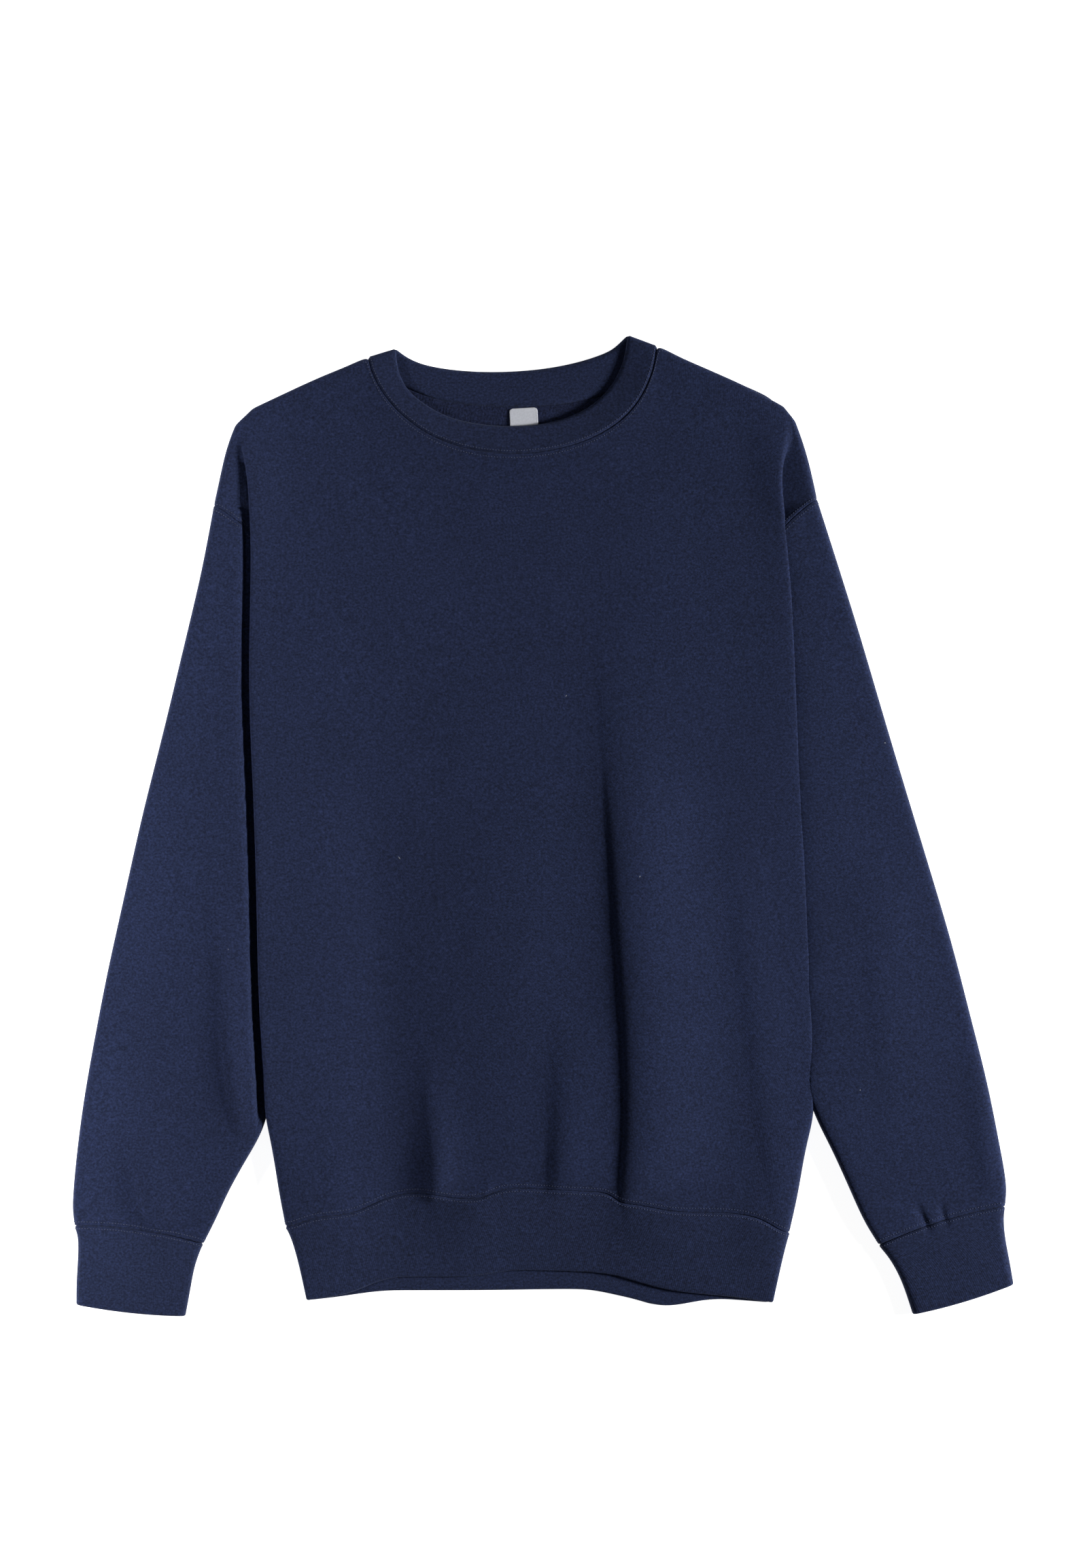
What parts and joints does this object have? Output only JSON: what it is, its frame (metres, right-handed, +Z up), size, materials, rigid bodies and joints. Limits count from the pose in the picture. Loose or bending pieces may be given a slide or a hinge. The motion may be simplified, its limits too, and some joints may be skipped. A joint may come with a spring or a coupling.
{
  "type": "crewneck sweatshirt",
  "caption": "Long-sleeved crewneck sweatshirt in brushed fleece with ribbed neck, cuffs and hem, lying flat on its back.",
  "frame": {"origin": "middle of the garment's outline, on the surface that it lies on", "axes": "+Z up from the surface, the front of the garment facing up; +Y towards the neck; +X towards the wearer's left sleeve"},
  "size_m": [0.7025, 0.7299, 0.0154],
  "materials": {
    "fleece": "matt brushed fleece, navy",
    "rib": "matt fine 1x1 rib knit, navy",
    "woven_label": "satin woven, bare white"
  },
  "bodies": {
    "root": {"front_panel": "fleece", "back_panel": "fleece", "right_sleeve": "fleece", "left_sleeve": "fleece", "neck_rib": "rib", "hem_band": "rib", "right_cuff": "rib", "left_cuff": "rib", "neck_label": "woven_label"}
  },
  "joints": []
}
